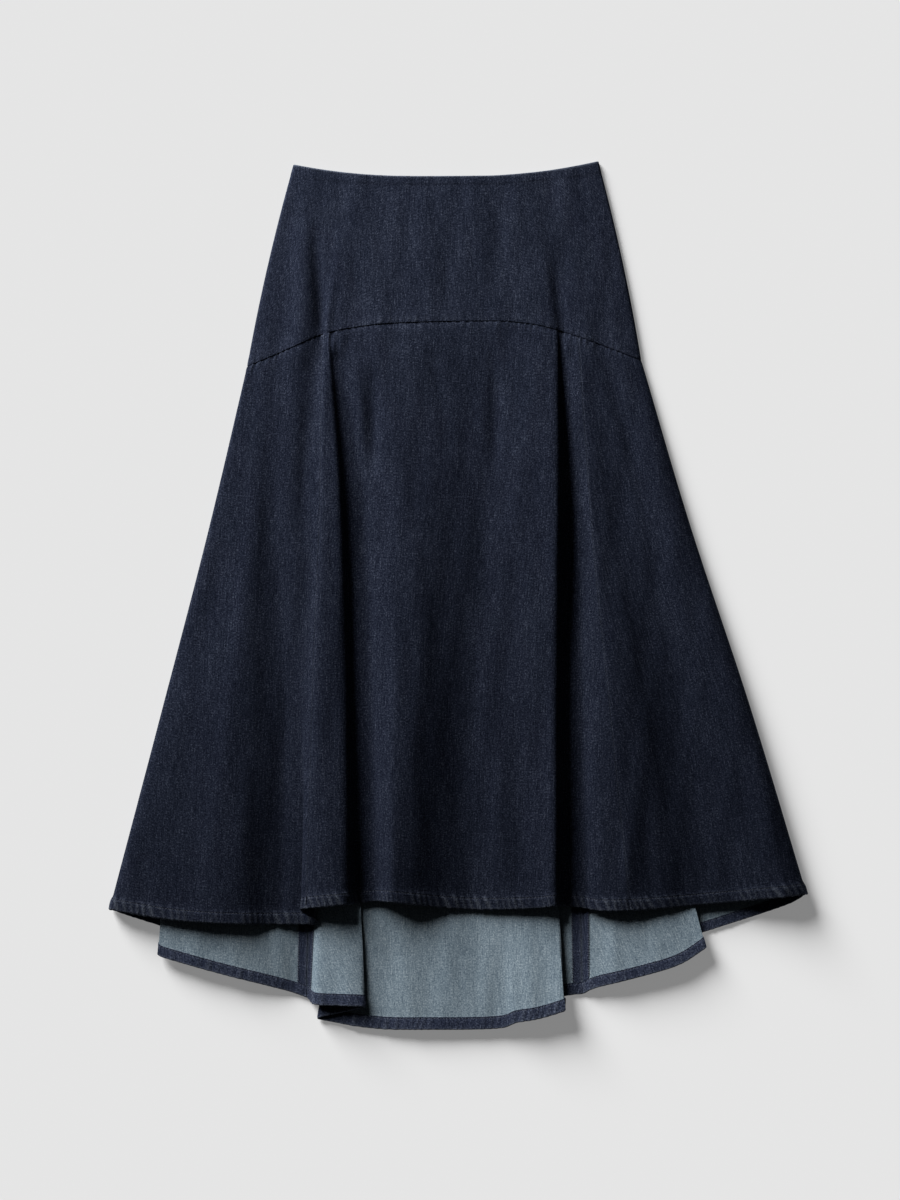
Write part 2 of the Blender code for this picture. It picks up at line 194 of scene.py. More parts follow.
# Soft creases, as seen from above: a line from one end to the other,
# how wide it is at each end, and how far the cloth rises (or, with a minus, sinks)
Crease = namedtuple("Crease", "x0 y0 x1 y1 width0 width1 rise")
FRONT_CREASES = [Crease(*row) for row in (
    (-162, 415, -147, 235, 6.5, 7, -3.8),
    (38, 292, 44, 130, 7, 9, -1.8),
    (66, 292, 80, 130, 14, 14, 1.3),
    (-178, 420, -172, 250, 12, 11, 2.8),
    (-130, 415, -134, 268, 14, 12, 1.3),
    (111, 400, 113, 318, 12, 9, -1.2),
    (92, 385, 84, 312, 14, 14, 0.7),
    (-97, 262, -94, 130, 7, 9, -3.2),
    (-116, 270, -104, 170, 6, 7, 1.4),
    (-27, 280, -6, 150, 9, 12, -1.8),
    (-58, 300, -50, 150, 12, 18, 0.9),
    (-170, 215, -173, 40, 8, 9, -1.8),
    (-141, 288, -137, 266, 2.4, 3.2, 1.5),
    (-146, 284, -140, 268, 2.2, 2.6, 1.1),
    (-131, 292, -131, 264, 2.6, 3.4, 0.9),
    (-123, 294, -121, 270, 2.6, 3.6, -0.9),
    (119, 290, 124, 262, 3.0, 4.0, 1.1),
    (126, 288, 133, 262, 2.6, 3.6, -0.8),
    (-220, 395, -236, 300, 14, 10, -0.8),
    (180, 400, 190, 300, 16, 14, 0.7),
    (-40, 460, -30, 330, 22, 26, 0.6),
    (40, 455, 52, 325, 20, 24, -0.5),
    (-260, 60, -300, -120, 12, 18, -1.3),
    (-300, -60, -345, -300, 14, 20, 1.4),
    (-232, -170, -246, -352, 9, 12, 1.6),
    (-60, 40, -52, -160, 12, 16, -1.5),
    (-45, -60, -52, -330, 10, 12, 1.4),
    (62, 80, 60, -150, 14, 16, -1.4),
    (70, -120, 66, -340, 12, 14, -1.7),
    (45, -180, 44, -345, 8, 10, 1.2),
    (196, 100, 214, -60, 10, 12, 1.0),
    (144, 300, 200, 110, 7, 11, 1.9),
    (162, 262, 226, 50, 8, 12, -1.9),
    (176, 300, 250, 60, 12, 16, 1.3),
    (250, 60, 290, -120, 14, 16, -1.0),
    (300, -140, 345, -325, 13, 16, -1.6),
    (210, -200, 214, -345, 8, 10, -1.5),
    (190, -260, 189, -350, 6, 8, 1.2),
)]
BACK_CREASES = [Crease(*row) for row in (
    (-120, 180, -150, -60, 10, 14, 1.2),
    (-60, 240, -64, 20, 12, 16, 0.9),
    (60, 200, 82, -40, 10, 14, 1.1),
    (150, 150, 190, -80, 10, 15, 1.0),
    (10, 60, 6, -220, 14, 18, 1.3),
    (-50, -120, -66, -380, 12, 14, 1.5),
    (-210, 40, -250, -180, 12, 16, 1.2),
    (-258, -330, -246, -408, 9, 12, 0.9),
    (-205, -350, -196, -440, 8, 10, 1.4),
    (-60, -400, -52, -484, 12, 15, 1.6),
    (-12, -370, -4, -484, 9, 12, 1.2),
    (30, -380, 33, -484, 7, 9, 1.3),
    (78, -350, 84, -470, 7, 9, 1.2),
    (172, -360, 178, -432, 8, 10, 1.2),
    (215, -350, 224, -420, 8, 10, 1.0),
)]

# Waviness of cloth that has been worn in: wavelength across and down, in millimetres,
# where each wave starts, and its height
Slack = namedtuple("Slack", "across down start height")
SLACKS = [Slack(*row) for row in (
    (61, 470, 0.6, 0.32),
    (-47, 310, 2.1, 0.22),
    (33, 240, 4.4, 0.16),
    (-26, 170, 1.2, 0.10),
    (17, 90, 3.3, 0.07),
)]
SLACK_LIFT = 0.25

# Creases fade where the cloth stands steep
FLAT_GAIN = 1.4
FLAT_LOSS = 0.25

# Ropes and puckers are uneven: slow sines shift them along the seam and swell them.
# Each has its height, the length of one radian in millimetres, and its start.
Sway = namedtuple("Sway", "height reach start")
ROPE_SHIFTS = (Sway(2.4, 23.0, 0.0), Sway(1.6, 7.3, 1.0))
ROPE_SWELLS = (Sway(0.25, 31.0, 0.7), Sway(0.20, 6.1, 0.0))
ROPE_MEAN = 0.55
ROPE_SHARPNESS = 1.6

# Ropes and puckers: spacing, slant, where they start and end, in millimetres, and wear
ROPE_SPACING = 8.4
ROPE_OVERSHOOT = 0.5
ROPE_FADE = 1.3
PUCKER_START = 40
PUCKER_SPACING = 7.4
PUCKER_SLANT = 0.25
SIDE_PUCKER_SPACING = 8.5
SIDE_PUCKER_SLANT = 0.7
SIDE_PUCKER_FADE = 18
ROPE_WEAR = 0.62
PUCKER_WEAR = 0.25
WEAR_SHARPNESS = 1.5

# Looks of one piece: the depth of the stitched groove, how often the surface is smoothed,
# the height, slant and start of the hem's ropes, the height of the yoke seam's puckers, 1
# where the yoke seam steps and where a side is no panel seam, and how worn each side is.
# Puckers of a panel seam have the y of both their ends and a height.
SeamPuckers = namedtuple("SeamPuckers", "low high height")
NO_PUCKERS = SeamPuckers(0, 0, 0)
Look = namedtuple(
    "Look",
    "groove passes rope rope_slant rope_start pucker yoke_step"
    " side_first side_last wear_first wear_last puckers_first puckers_last",
)
PANEL_LOOK = Look(0.35, 4, 1.8, 0.45, 0.0, 0.9, 1, 0, 0, 0.1, 0.1, NO_PUCKERS, NO_PUCKERS)
YOKE_LOOK = PANEL_LOOK._replace(
    groove=0.0, rope=0.0, pucker=0.6, yoke_step=0, side_first=1, side_last=1
)
BACK_LOOK = PANEL_LOOK._replace(rope=0.8, rope_slant=0.2, passes=3)
PARTS = ("left", "center", "right")
FRONT_LOOKS = (
    PANEL_LOOK._replace(puckers_last=SeamPuckers(35, 160, 0.9), rope_start=3.0, side_first=1),
    PANEL_LOOK._replace(puckers_first=SeamPuckers(35, 290, 0.5), rope_start=17.0),
    PANEL_LOOK._replace(rope_start=31.0, wear_first=0.25, side_last=1),
)
BACK_LOOKS = (
    BACK_LOOK._replace(rope_start=8.0, side_first=1),
    BACK_LOOK._replace(rope_start=29.0),
    BACK_LOOK._replace(rope_start=43.0, side_last=1),
)

# Cloth cut beyond the outer face, in metres: 10 mm at each seam, and 20 mm turned in at
# the hem or the waist
WIDTH_ALLOWANCE = 0.02
LENGTH_ALLOWANCE = 0.03

# Stitches, in millimetres: how far apart, where the first is, how long and thick, how far
# they stand out, and how many radians they slant, to either side in turn
Stitch = namedtuple("Stitch", "pitch start length thick raised slant")
HEM_STITCH = Stitch(3.5, 0.0, 3.0, 0.5, 0.12, 0.06)
OVERLOCK_ACROSS = Stitch(2.7, 0.0, 3.6, 0.75, 0.15, 0.30)
OVERLOCK_EDGE = Stitch(2.7, 0.7, 2.2, 0.5, -0.15, 0.25)
STITCH_UNEVEN = 0.10
STITCH_DIP = 0.7
STITCH_END = 0.02

# Flaps are the seam allowances pressed open on the inside of the back, in millimetres
FLAP_WALL = 0.9
FLAP_GAP = 0.02
FLAP_COLUMNS = np.array([0.35, 0.8, 2.0, 4.0, 6.0, 8.0, 9.2, 10.0, 10.4])
FLAP_TOP = 8.0
FLAP_END_GAP = 0.4
FLAP_ROW_STEP = 3.0
FLAP_REACH = np.array([-1.9, 2.9])
FLAP_PLACES = 700
FLAP_ROLL = Bell(0.25, 1.0, 1.4)
FLAP_WAVE = 0.12
FLAP_WEAR = Bell(0.35, 1.0, 1.2)
OVERLOCK_INSET = 0.2

# Denim: the ribs of the twill, and grains of the yarn in millimetres across and along it,
# with their fineness and their share of the tone
TWILL_SCALE = 380.0
TWILL_SLANT = 1.05
TWILL_SHARE = 0.08
TWILL_RELIEF = 0.5
Grain = namedtuple("Grain", "name width length detail share")
GRAINS = (
    Grain("slub", 1.5, 14.0, 3.0, 0.26),
    Grain("streak", 4.5, 90.0, 2.0, 0.07),
    Grain("fleck", 1.5, 1.9, 2.0, 0.44),
    Grain("weft", 6.0, 1.3, 2.0, 0.16),
    Grain("cloud", 55.0, 80.0, 2.0, 0.08),
)
TONE_LOW, TONE_HIGH = 0.405, 0.675
WORN_LOW, WORN_HIGH = 0.35, 0.62
FACE_STOPS = (
    (0.0, (0.0030, 0.0044, 0.0095)),
    (0.45, (0.0118, 0.0152, 0.0275)),
    (0.75, (0.0270, 0.0330, 0.0540)),
    (1.0, (0.0750, 0.0880, 0.1240)),
)
FACE_WORN = (0.085, 0.098, 0.125)
REVERSE_STOPS = (
    (0.0, (0.040, 0.058, 0.080)),
    (0.45, (0.104, 0.137, 0.163)),
    (0.75, (0.158, 0.197, 0.226)),
    (1.0, (0.240, 0.280, 0.302)),
)
REVERSE_WORN = (0.46, 0.50, 0.52)
THREAD_DARK = (0.024, 0.030, 0.048)
THREAD_LIGHT = (0.055, 0.066, 0.094)
THREAD_SPECKS = 900.0
THREAD_PLIES = 700.0

# Floor, background and lights, in metres, degrees and watts
FLOOR_SHADE = (0.42, 0.42, 0.42, 1.0)
FLOOR_GLOW = 0.22
FLOOR_REACH = 30
FLOOR_DROP = 0.0004
BACKGROUND_SEEN = (0.7835, 0.7835, 0.7835, 1.0)
FILL_COLOUR = (0.96, 0.98, 1.0, 1.0)
FILL_STRENGTH = 0.025
KEY_PLACE = (-1.02, 1.88, 0.47)
KEY_AIM = (0, 0, 0.01)
KEY_POWER = 138.0
KEY_SIZE = 0.75
Sun = namedtuple("Sun", "name height energy spread")
FLOOR_SUN = Sun("floor_key", 21, 11.6, 28)
INSIDE_SUN = Sun("inside_key", 22, 9.7, 42)
SUN_ACROSS, SUN_DOWN = -0.59, 0.81

# Camera straight above, whose frame is 1.344 m high at the floor
CAMERA_X, CAMERA_Y, CAMERA_HEIGHT = -0.009, -0.006, 9.0
FRAME_HEIGHT = 1.344
SENSOR = 36.0
CAMERA_REACH = 100


def glide(stations, values, at):
    """Smooth values between stations, without overshoot. values has one row per rib.

    Each stretch is a cubic whose end slopes are the harmonic means of its neighbours'.
    """
    stations = np.asarray(stations, float)
    values = np.asarray(values, float)
    steps = np.diff(stations)
    rates = np.diff(values, axis=-1) / steps
    slopes = np.zeros_like(values)
    before, after = rates[..., :-1], rates[..., 1:]
    same_way = before * after > 0
    total = np.where(same_way, before + after, 1.0)
    slopes[..., 1:-1] = np.where(same_way, 2 * before * after / total, 0.0)
    slopes[..., 0] = rates[..., 0]
    slopes[..., -1] = rates[..., -1]
    at = np.clip(np.asarray(at, float), stations[0], stations[-1])
    span = np.clip(np.searchsorted(stations, at, side="right") - 1, 0, len(steps) - 1)
    step = steps[span]
    s = (at - stations[span]) / step
    start, end = values[..., span], values[..., span + 1]
    pull_start, pull_end = slopes[..., span] * step, slopes[..., span + 1] * step
    return (
        start * (1 + 2 * s) * (1 - s) ** 2
        + pull_start * s * (1 - s) ** 2
        + end * s**2 * (3 - 2 * s)
        + pull_end * s**2 * (s - 1)
    )


def yoke_seam_y(x):
    """The y of the yoke seam at x, which glides between its set corners."""
    return glide(YOKE_SEAM_X, YOKE_SEAM_Y, x)


def waist_y(x):
    """The y of the waist at x, which rises with a power of the way from its lowest place."""
    half_width = (WAIST_RIGHT - WAIST_LEFT) / 2
    return WAIST_LOW_Y + WAIST_RISE * (np.abs(x - WAIST_LOW_X) / half_width) ** WAIST_POWER


def rib_lines(ribs, stations, levels):
    """Corners of the cloth at each level, as levels by ribs by x, y and z.

    x and z glide between the stations; y falls evenly from the yoke seam to the hem.
    """
    x = glide(stations, [rib.x for rib in ribs], levels).T
    z = glide(stations, [rib.z for rib in ribs], levels).T
    start_y = yoke_seam_y([rib.x[0] for rib in ribs])
    hem_y = np.array([rib.hem_y for rib in ribs], float)
    y = start_y + (hem_y - start_y) * np.asarray(levels)[:, None]
    return np.stack([x, y, z], axis=-1)


def front_lines(levels):
    """Corners of the front at each level."""
    return rib_lines(FRONT_RIBS, FRONT_STATIONS, levels)


def back_lines(levels):
    """Corners of the back, whose side edges run with the front's."""
    corners = rib_lines(BACK_RIBS, BACK_STATIONS, levels)
    corners[:, SIDE_COLUMNS] = rib_lines(BACK_SIDES, FRONT_STATIONS, levels)
    return corners


def yoke_lines(seam, levels):
    """Corners of a yoke, from the seam at level 0 to the waist at level 1.

    They run straight between the two, the hips bow them out by a parabola, and the
    heights of the seam settle to the waist's with the cube of the way left.
    """
    waist = seam.copy()
    share = (seam[:, 0] - seam[0, 0]) / (seam[-1, 0] - seam[0, 0])
    waist[:, 0] = WAIST_LEFT + (WAIST_RIGHT - WAIST_LEFT) * share
    waist[:, 1] = waist_y(waist[:, 0])
    waist[:, 2] = np.where(seam[:, 2] > 0, YOKE_HEIGHT, 0)
    waist[[0, -1], 2] = YOKE_SIDE_HEIGHT
    level = np.asarray(levels)[:, None, None]
    corners = seam + (waist - seam) * level
    settle = 1 - (1 - level[:, :, 0]) ** 3
    corners[:, :, 2] = seam[:, 2] + (waist[:, 2] - seam[:, 2]) * settle
    bow = HIP_BULGE * 4 * level * (1 - level)
    corners[:, :, 0] += (2 * share - 1) * bow[:, :, 0]
    return corners


def softness(ribs):
    """How far each rib's corner is rounded."""
    return np.array([rib.soft for rib in ribs])


def seam_places(ribs, seams):
    """Places of the seams, each a share of the way from a named rib to the next."""
    names = [rib.name for rib in ribs]
    return tuple(names.index(name) + share for name, share in seams)


def across(corners, soft, places):
    """Points of the rounded polygon at places, where a whole number is a corner.

    Within its softness of a corner the point is on a quadratic curve, which has the
    corner as its middle control point. Elsewhere it is on the straight side.
    """
    places = np.asarray(places, float)
    corner = np.clip(np.round(places).astype(int), 0, corners.shape[1] - 1)
    offset = places - corner
    before = corners[:, np.maximum(corner - 1, 0)]
    after = corners[:, np.minimum(corner + 1, corners.shape[1] - 1)]
    here = corners[:, corner]
    ends = (corner == 0) | (corner == corners.shape[1] - 1)
    bend = np.where(ends, 1e-9, soft[corner])[:, None]
    offset = offset[:, None]
    neighbour = np.where(offset < 0, before, after)
    straight = here + (neighbour - here) * np.abs(offset)
    turn = np.clip((offset + bend) / (2 * bend), 0, 1)
    entry = here + (before - here) * bend
    leave = here + (after - here) * bend
    curve = (1 - turn) ** 2 * entry + 2 * turn * (1 - turn) * here + turn**2 * leave
    return np.where(np.abs(offset) > bend, straight, curve)


def runs_along(points, axis):
    """Length of the cloth from its first row or column to each point."""
    steps = np.linalg.norm(np.diff(points, axis=axis), axis=-1)
    start = np.zeros_like(np.take(steps, [0], axis=axis))
    return np.concatenate([start, np.cumsum(steps, axis=axis)], axis=axis)


def even_places(corners, soft, first, last, step):
    """Places from first to last, a step apart along the cloth, closer at both seams.

    They are read off the mean length of the cloth up to each of many fine places.
    """
    fine = np.linspace(first, last, FINE_PLACES)
    run = runs_along(across(corners, soft, fine), 1).mean(axis=0)
    near = np.array(SEAM_STEPS)
    count = int((run[-1] - 2 * near[-1]) / step)
    middle = np.linspace(near[-1], run[-1] - near[-1], count)[1:-1]
    wanted = np.concatenate([near, middle, run[-1] - near[::-1]])
    return np.interp(wanted, run, fine)


def eased(points, passes):
    """Points smoothed across the cloth: each pass is a 1-2-1 mean, with both ends kept."""
    points = points.copy()
    for _ in range(passes):
        inner = (points[:, :-2] + 2 * points[:, 1:-1] + points[:, 2:]) / 4
        points[:, 1:-1] = inner
    return points


def directions(points, facing):
    """Outward directions: the cross product of the steps down and across the grid."""
    down = np.gradient(points, axis=0)
    over = np.gradient(points, axis=1)
    outward = np.cross(down, over) * facing
    return outward / np.maximum(np.linalg.norm(outward, axis=-1, keepdims=True), 1e-9)


def crease_heights(x, y, creases):
    """Sum of the creases: each is a bell across its line, and fades at both ends."""
    height = np.zeros_like(x)
    for c in creases:
        along_x, along_y = c.x1 - c.x0, c.y1 - c.y0
        length = math.hypot(along_x, along_y)
        share = ((x - c.x0) * along_x + (y - c.y0) * along_y) / length**2
        aside = ((x - c.x0) * along_y - (y - c.y0) * along_x) / length
        width = c.width0 + (c.width1 - c.width0) * np.clip(share, 0, 1)
        fade = np.clip(1 - np.abs(2 * share - 1), 0, 1)
        fade = fade * (2 - fade)
        height += c.rise * np.exp(-((aside / width) ** 2)) * fade
    return height


def slack_heights(x, y):
    """Sum of long sine waves that run down the cloth at slightly different slants."""
    waves = [
        s.height * np.sin(2 * np.pi * (x / s.across + y / s.down) + s.start) for s in SLACKS
    ]
    return sum(waves)


def roping(along, up, spacing, slant):
    """Uneven ropes across a band, from 0 to 1.

    Each is a sine of the length, sheared by the height, drawn to a power and shifted and
    swollen by slow sines.
    """
    phase = 2 * np.pi * (along + slant * up) / spacing
    shift = swayed(ROPE_SHIFTS, along, 0.0)
    strength = swayed(ROPE_SWELLS, along, ROPE_MEAN)
    wave = 0.5 + 0.5 * np.sin(phase + shift)
    return wave**ROPE_SHARPNESS * strength


def swayed(sways, along, mean):
    """A mean plus a sum of slow sines of the length."""
    return sum((s.height * np.sin(along / s.reach + s.start) for s in sways), mean)


def bell(distance, shape):
    """A Gauss curve with the shape's height at its middle, and 0.37 of it a width away."""
    return shape.height * np.exp(-(((distance - shape.middle) / shape.width) ** 2))


def hem_rows(length, turn):
    """Distances from the folded edge at which a piece has rows, from its seam down."""
    fold = WALL * np.array(FOLD_SHARES)
    band = np.array(BAND_ROWS)
    band = band[band < turn - BAND_END_GAP]
    edge = turn + np.array(TURNED_EDGE_ROWS)
    above = turn + np.array(ABOVE_EDGE_ROWS)
    seam = np.array(SEAM_STEPS)
    body_length = length - seam[-1] - above[-1]
    body = np.linspace(length - seam[-1], above[-1], int(body_length / ROW_STEP))
    rows = np.concatenate([length - seam[:-1], body[:-1], above[::-1], edge[::-1], band[::-1]])
    return rows, fold


def shell_profile(rows, fold, turn, groove):
    """Distance from the folded edge and depth under the outer face, round the wall.

    The profile runs down the outer face, round the fold as a half circle, up the turned
    cloth inside, over its edge and up the inner face.
    """
    sunk = groove * bell(rows, GROOVE)
    swell = HEM_SWELL / (1 + np.exp((rows - turn) / HEM_SWELL_FADE))
    outer = sunk - swell
    turned = rows < turn
    inner = np.where(turned, 2 * WALL - sunk, WALL)
    angle = np.arccos(1 - np.minimum(fold / WALL, 1))
    outer_fold = WALL * (1 - np.sin(angle)) - HEM_SWELL * np.sin(angle)
    inner_fold = WALL * (1 + np.sin(angle))
    distance = np.concatenate([rows, fold, fold[::-1], rows[::-1]])
    depth = np.concatenate([outer, outer_fold, inner_fold[::-1], inner[::-1]])
    return distance, depth


def placed(name, data):
    """A new object in the scene for the data."""
    made = bpy.data.objects.new(name, data)
    bpy.context.scene.collection.objects.link(made)
    return made


def shell_mesh(name, loop, across_run, down_run, wear, reverse_rows, facing):
    """A closed shell from a grid whose rows go once round the wall.

    Quads join each row to the next and the last to the first, and each side edge is
    closed by quads between the rows that lie opposite each other in the wall. The face
    shows everywhere but on the reverse rows.
    """
    rows, columns = loop.shape[:2]
    k = np.arange(rows)[:, None]
    j = np.arange(columns - 1)[None, :]
    after = (k + 1) % rows
    quads = np.stack(
        [k * columns + j, after * columns + j, after * columns + j + 1, k * columns + j + 1],
        axis=-1,
    ).reshape(-1, 4)
    half = rows // 2
    i = np.arange(half - 1)
    first = np.stack([i, rows - 1 - i, rows - 2 - i, i + 1], axis=-1) * columns
    last = first[:, ::-1] + columns - 1
    faces = np.concatenate([quads, first, last])
    if facing < 0:
        faces = faces[:, ::-1]
    mesh = bpy.data.meshes.new(name)
    mesh.vertices.add(rows * columns)
    mesh.vertices.foreach_set("co", (loop.reshape(-1, 3) * MM).ravel())
    mesh.loops.add(faces.size)
    mesh.loops.foreach_set("vertex_index", faces.ravel())
    mesh.polygons.add(len(faces))
    mesh.polygons.foreach_set("loop_start", np.arange(0, faces.size, 4))
    mesh.polygons.foreach_set("loop_total", np.full(len(faces), 4))
    row_slot = np.repeat(reverse_rows.astype(int), columns - 1)
    slots = np.concatenate([row_slot, np.zeros(len(faces) - len(row_slot), int)])
    mesh.polygons.foreach_set("material_index", slots)
    mesh.update(calc_edges=True)
    uv = mesh.uv_layers.new(name="grain")
    place = np.stack([across_run, down_run], axis=-1).reshape(-1, 2) * MM
    uv.data.foreach_set("uv", place[faces.ravel()].ravel())
    worn = mesh.attributes.new("wear", "FLOAT", "POINT")
    worn.data.foreach_set("value", np.clip(wear, 0, 1).ravel())
    mesh.polygons.foreach_set("use_smooth", np.ones(len(faces), bool))
    mesh.set_sharp_from_angle(angle=SHARP_ANGLE)
    mesh.validate()
    piece = placed(name, mesh)
    for material in (face_denim, reverse_denim):
        mesh.materials.append(material)
    return piece


def linked(tree, kind, inputs=None, **settings):
    """A shader node with its settings, and inputs that are either numbers or sockets."""
    made = tree.nodes.new("ShaderNode" + kind)
    for key, value in settings.items():
        setattr(made, key, value)
    for key, value in (inputs or {}).items():
        if isinstance(value, bpy.types.NodeSocket):
            tree.links.new(value, made.inputs[key])
        else:
            made.inputs[key].default_value = value
    return made


def new_material(name):
    """A material with its node tree and its main shader."""
    material = bpy.data.materials.new(name)
    material.use_nodes = True
    return material, material.node_tree, material.node_tree.nodes["Principled BSDF"]


def grain_noise(tree, vector, grain):
    """Noise whose specks are about the grain's width by its length on the cloth."""
    scale = (1 / (grain.width * MM), 1 / (grain.length * MM), 1.0)
    mapping = linked(tree, "Mapping", {"Vector": vector, "Scale": scale})
    inputs = {
        "Vector": mapping.outputs[0],
        "Scale": 1.0,
        "Detail": grain.detail,
        "Roughness": 0.6,
    }
    return linked(tree, "TexNoise", inputs).outputs["Fac"]


def ranged(tree, value, low, high, to_low=0.0, to_high=1.0):
    """A value moved from one range to another, and held inside it."""
    made = linked(
        tree,
        "MapRange",
        {"Value": value, "From Min": low, "From Max": high, "To Min": to_low, "To Max": to_high},
    )
    return made.outputs["Result"]


def maths(tree, operation, a, b):
    """The result of one sum or product."""
    return linked(tree, "Math", {0: a, 1: b}, operation=operation).outputs[0]


def colours(tree, factor, stops):
    """The colour at a factor, from stops that each have a place and a colour."""
    ramp = linked(tree, "ValToRGB", {"Fac": factor})
    elements = ramp.color_ramp.elements
    while len(elements) < len(stops):
        elements.new(1.0)
    for element, (place, colour) in zip(elements, stops):
        element.position = place
        element.color = (*colour, 1.0)
    return ramp.outputs["Color"]


def mixed(tree, factor, first, second):
    """The first colour at factor 0, the second at 1, and their mixture between."""
    made = linked(tree, "Mix", {0: factor, 6: first, 7: second}, data_type="RGBA")
    return made.outputs[2]


def denim_material(name, stops, worn, slant):
    """Twill: slanted ribs, slubby warp streaks, fine flecks, cloudy dye and worn edges.

    The tone is a weighted sum of the grains and the ribs, and picks the colour of the dye.
    """
    material, tree, shader = new_material(name)
    grain = linked(tree, "UVMap", uv_map="grain").outputs["UV"]
    turned = linked(tree, "Mapping", {"Vector": grain, "Rotation": (0, 0, slant)})
    ribs = {
        "Vector": turned.outputs[0],
        "Scale": TWILL_SCALE,
        "Distortion": 1.6,
        "Detail": 2.0,
        "Detail Scale": 1.4,
    }
    twill = linked(tree, "TexWave", ribs).outputs["Fac"]
    noises = {kind.name: grain_noise(tree, grain, kind) for kind in GRAINS}
    parts = [maths(tree, "MULTIPLY", noises[kind.name], kind.share) for kind in GRAINS]
    parts.append(maths(tree, "MULTIPLY", twill, TWILL_SHARE))
    total = parts[0]
    for part in parts[1:]:
        total = maths(tree, "ADD", total, part)
    tone = ranged(tree, total, TONE_LOW, TONE_HIGH)
    base = colours(tree, tone, stops)
    wear = linked(tree, "Attribute", attribute_name="wear").outputs["Fac"]
    rubbed = maths(tree, "MULTIPLY", wear, ranged(tree, noises["fleck"], WORN_LOW, WORN_HIGH))
    shade = mixed(tree, rubbed, base, (*worn, 1.0))
    tree.links.new(shade, shader.inputs["Base Color"])
    rough = ranged(tree, tone, 0.0, 1.0, 0.96, 0.80)
    tree.links.new(rough, shader.inputs["Roughness"])
    relief = maths(tree, "ADD", maths(tree, "MULTIPLY", twill, TWILL_RELIEF), noises["slub"])
    relief = maths(tree, "ADD", relief, noises["fleck"])
    bump = linked(tree, "Bump", {"Height": relief, "Strength": 0.5, "Distance": 0.0003})
    tree.links.new(bump.outputs["Normal"], shader.inputs["Normal"])
    shader.inputs["Metallic"].default_value = 0.0
    shader.inputs["Specular IOR Level"].default_value = 0.02
    return material


def thread_material(name, dark, light):
    """Twisted thread: fine slanted plies across it and a little uneven dye."""
    material, tree, shader = new_material(name)
    place = linked(tree, "TexCoord").outputs["Object"]
    noise = linked(tree, "TexNoise", {"Vector": place, "Scale": THREAD_SPECKS, "Detail": 3.0})
    shade = colours(tree, noise.outputs["Fac"], ((0.3, dark), (0.7, light)))
    tree.links.new(shade, shader.inputs["Base Color"])
    twist = {"Vector": place, "Scale": THREAD_PLIES, "Distortion": 1.0}
    plies = linked(tree, "TexWave", twist, bands_direction="DIAGONAL").outputs["Fac"]
    bump = linked(tree, "Bump", {"Height": plies, "Strength": 0.6, "Distance": 0.00008})
    tree.links.new(bump.outputs["Normal"], shader.inputs["Normal"])
    rough = ranged(tree, noise.outputs["Fac"], 0.2, 0.8, 0.5, 0.75)
    tree.links.new(rough, shader.inputs["Roughness"])
    return material


def floor_material():
    """A matt pale floor with a faint glow of its own, which lightens its shadows."""
    material, _, shader = new_material("pale_floor")
    shader.inputs["Base Color"].default_value = FLOOR_SHADE
    shader.inputs["Roughness"].default_value = 0.9
    shader.inputs["Specular IOR Level"].default_value = 0.0
    shader.inputs["Emission Color"].default_value = (1.0, 1.0, 1.0, 1.0)
    shader.inputs["Emission Strength"].default_value = FLOOR_GLOW
    return material


face_denim = denim_material("denim_face", FACE_STOPS, FACE_WORN, TWILL_SLANT)
reverse_denim = denim_material("denim_reverse", REVERSE_STOPS, REVERSE_WORN, -TWILL_SLANT)
navy_thread = thread_material("navy_thread", THREAD_DARK, THREAD_LIGHT)

# One piece of cloth: the function that gives its corners at each level, how far they are
# rounded, its stretch of them, its length from seam to edge, the depth turned in, which
# way its grid faces, its looks, and whether it is of the front
Cut = namedtuple("Cut", "corners_at soft first last length turn facing look front")

# The grid that sewing is placed by: points round the wall, their distance from the folded
# edge, and their outward directions
Grid = namedtuple("Grid", "loop distance outward")


def soft_relief(cut, points, from_first, from_last):
    """Heights of the creases and the slack, which fade on steep cloth and at side edges."""
    look = cut.look
    x, y = points[..., 0], points[..., 1]
    upright = np.abs(directions(points, cut.facing)[..., 2])
    flat = np.clip(upright * FLAT_GAIN - FLAT_LOSS, 0, 1)
    height = crease_heights(x, y, FRONT_CREASES if cut.front else BACK_CREASES)
    height += slack_heights(x, y) + SLACK_LIFT
    calm = 1 - look.side_first * bell(from_first, SIDE_CALM)
    calm = calm - look.side_last * bell(from_last, SIDE_CALM)
    return height * flat * calm


def side_puckers(puckers, y, down, from_seam):
    """Ropes that run off a panel seam, between two heights where they fade in and out."""
    above_low = np.clip((y - puckers.low) / SIDE_PUCKER_FADE, 0, 1)
    below_high = np.clip((puckers.high - y) / SIDE_PUCKER_FADE, 0, 1)
    ropes = roping(down, from_seam, SIDE_PUCKER_SPACING, SIDE_PUCKER_SLANT)
    return ropes * bell(from_seam, SIDE_PUCKERS) * (above_low * below_high) * puckers.height


